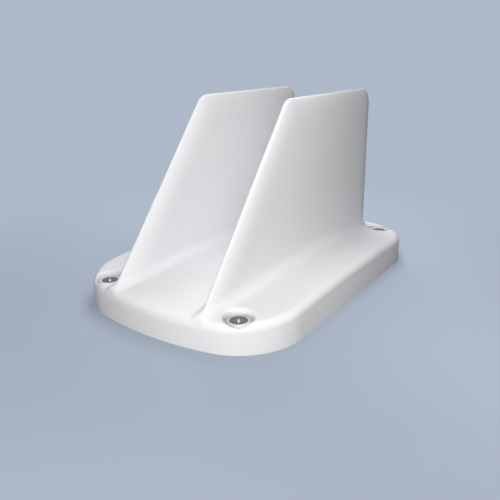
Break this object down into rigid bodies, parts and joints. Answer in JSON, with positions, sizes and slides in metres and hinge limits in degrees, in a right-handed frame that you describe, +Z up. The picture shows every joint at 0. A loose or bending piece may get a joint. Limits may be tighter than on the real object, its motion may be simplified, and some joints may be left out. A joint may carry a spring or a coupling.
{
  "type": "stanchion base",
  "caption": "White moulded deck base: a rounded plate with two tall raked cheeks either side of an open channel for a stanchion foot, screwed down at its corners.",
  "frame": {"origin": "middle of the underside, on the plane that meets the deck, midway between the four screws", "axes": "+Z up from the deck, -Y towards the raked front edges of the cheeks, +X to the right seen from the front"},
  "size_m": [0.175, 0.271, 0.1534],
  "materials": {
    "white_moulding": "smooth glossy white",
    "stainless_screw": "turned and lightly polished stainless steel",
    "stainless_washer": "polished stainless steel",
    "stainless_sleeve": "drawn stainless tube",
    "seal_rubber": "black rubber"
  },
  "bodies": {
    "root": {"base_moulding": "white_moulding", "deck_screws": "stainless_screw", "cup_washers": "stainless_washer", "sleeve_front_left": "stainless_sleeve", "sleeve_front_right": "stainless_sleeve", "sleeve_back_left": "stainless_sleeve", "sleeve_back_right": "stainless_sleeve", "seal_front_left": "seal_rubber", "seal_front_right": "seal_rubber", "seal_back_left": "seal_rubber", "seal_back_right": "seal_rubber"}
  },
  "joints": []
}
